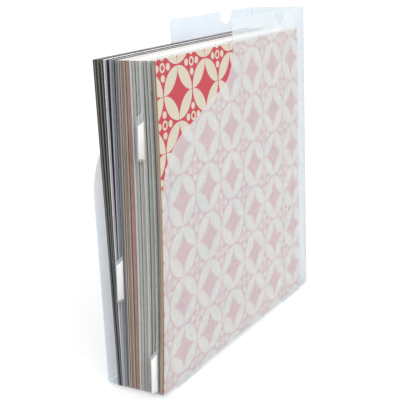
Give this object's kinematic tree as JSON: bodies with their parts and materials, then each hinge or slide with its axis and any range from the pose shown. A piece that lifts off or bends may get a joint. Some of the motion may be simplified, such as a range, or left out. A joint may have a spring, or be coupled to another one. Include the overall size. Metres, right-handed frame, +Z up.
{
  "type": "upright paper holder",
  "caption": "Upright frosted polypropylene holder for square 12 inch scrapbook paper, open at the top and one side, filled with paper sheets and three tabbed label dividers.",
  "frame": {"origin": "middle of the overall bounding box at the ground, under the tongue tips that the holder stands on", "axes": "+X across the stack from the back panel to the front panel, +Y from the open side to the spine, +Z up"},
  "size_m": [0.0742, 0.3378, 0.3314],
  "materials": {
    "frosted_polypropylene": "translucent frosted sheet",
    "divider_polypropylene": "translucent frosted sheet",
    "clear_window": "clear film",
    "plain_paper": "matte, many colours",
    "printed_paper": "matte print",
    "label_card": "matte white"
  },
  "bodies": {
    "holder": {"front_panel": "frosted_polypropylene", "back_panel": "frosted_polypropylene", "spine_panel": "frosted_polypropylene", "base_outer_flap": "frosted_polypropylene", "base_inner_flap": "frosted_polypropylene"},
    "paper_bundle_1": {"paper_bundle_1": "plain_paper"},
    "paper_bundle_2": {"paper_bundle_2": "plain_paper"},
    "paper_bundle_3": {"paper_bundle_3": "plain_paper"},
    "paper_bundle_4": {"paper_bundle_4": "plain_paper"},
    "paper_bundle_5": {"paper_bundle_5": "plain_paper"},
    "paper_bundle_6": {"paper_bundle_6": "plain_paper"},
    "paper_bundle_7": {"paper_bundle_7": "plain_paper"},
    "paper_bundle_8": {"paper_bundle_8": "plain_paper"},
    "paper_bundle_9": {"paper_bundle_9": "plain_paper"},
    "cover_sheet": {"cover_sheet": "printed_paper"},
    "divider_middle": {"divider_middle_sheet": "divider_polypropylene", "divider_middle_window": "clear_window"},
    "label_middle": {"divider_middle_label": "label_card"},
    "divider_high": {"divider_high_sheet": "divider_polypropylene", "divider_high_window": "clear_window"},
    "label_high": {"divider_high_label": "label_card"},
    "divider_low": {"divider_low_sheet": "divider_polypropylene", "divider_low_window": "clear_window"},
    "label_low": {"divider_low_label": "label_card"}
  },
  "joints": [
    {"name": "paper_bundle_1_slide", "type": "slide", "parent": "holder", "child": "paper_bundle_1", "axis": [0.0354, -0.9994, 0], "range_m": [0, 0.31]},
    {"name": "paper_bundle_2_slide", "type": "slide", "parent": "holder", "child": "paper_bundle_2", "axis": [0.0354, -0.9994, 0], "range_m": [0, 0.31]},
    {"name": "paper_bundle_3_slide", "type": "slide", "parent": "holder", "child": "paper_bundle_3", "axis": [0.0354, -0.9994, 0], "range_m": [0, 0.31]},
    {"name": "paper_bundle_4_slide", "type": "slide", "parent": "holder", "child": "paper_bundle_4", "axis": [0.0354, -0.9994, 0], "range_m": [0, 0.31]},
    {"name": "paper_bundle_5_slide", "type": "slide", "parent": "holder", "child": "paper_bundle_5", "axis": [0.0354, -0.9994, 0], "range_m": [0, 0.31]},
    {"name": "paper_bundle_6_slide", "type": "slide", "parent": "holder", "child": "paper_bundle_6", "axis": [0.0354, -0.9994, 0], "range_m": [0, 0.31]},
    {"name": "paper_bundle_7_slide", "type": "slide", "parent": "holder", "child": "paper_bundle_7", "axis": [0.0354, -0.9994, 0], "range_m": [0, 0.31]},
    {"name": "paper_bundle_8_slide", "type": "slide", "parent": "holder", "child": "paper_bundle_8", "axis": [0.0354, -0.9994, 0], "range_m": [0, 0.31]},
    {"name": "paper_bundle_9_slide", "type": "slide", "parent": "holder", "child": "paper_bundle_9", "axis": [0.0354, -0.9994, 0], "range_m": [0, 0.31]},
    {"name": "cover_sheet_slide", "type": "slide", "parent": "holder", "child": "cover_sheet", "axis": [0.0354, -0.9994, 0], "range_m": [0, 0.31]},
    {"name": "divider_middle_slide", "type": "slide", "parent": "holder", "child": "divider_middle", "axis": [0.0354, -0.9994, 0], "range_m": [0, 0.31]},
    {"name": "label_middle_slide", "type": "slide", "parent": "divider_middle", "child": "label_middle", "axis": [0.0373, 0.0013, 0.9993], "range_m": [0, 0.042]},
    {"name": "divider_high_slide", "type": "slide", "parent": "holder", "child": "divider_high", "axis": [0.0354, -0.9994, 0], "range_m": [0, 0.31]},
    {"name": "label_high_slide", "type": "slide", "parent": "divider_high", "child": "label_high", "axis": [0.0373, 0.0013, 0.9993], "range_m": [0, 0.042]},
    {"name": "divider_low_slide", "type": "slide", "parent": "holder", "child": "divider_low", "axis": [0.0354, -0.9994, 0], "range_m": [0, 0.31]},
    {"name": "label_low_slide", "type": "slide", "parent": "divider_low", "child": "label_low", "axis": [0.0373, 0.0013, 0.9993], "range_m": [0, 0.042]}
  ]
}
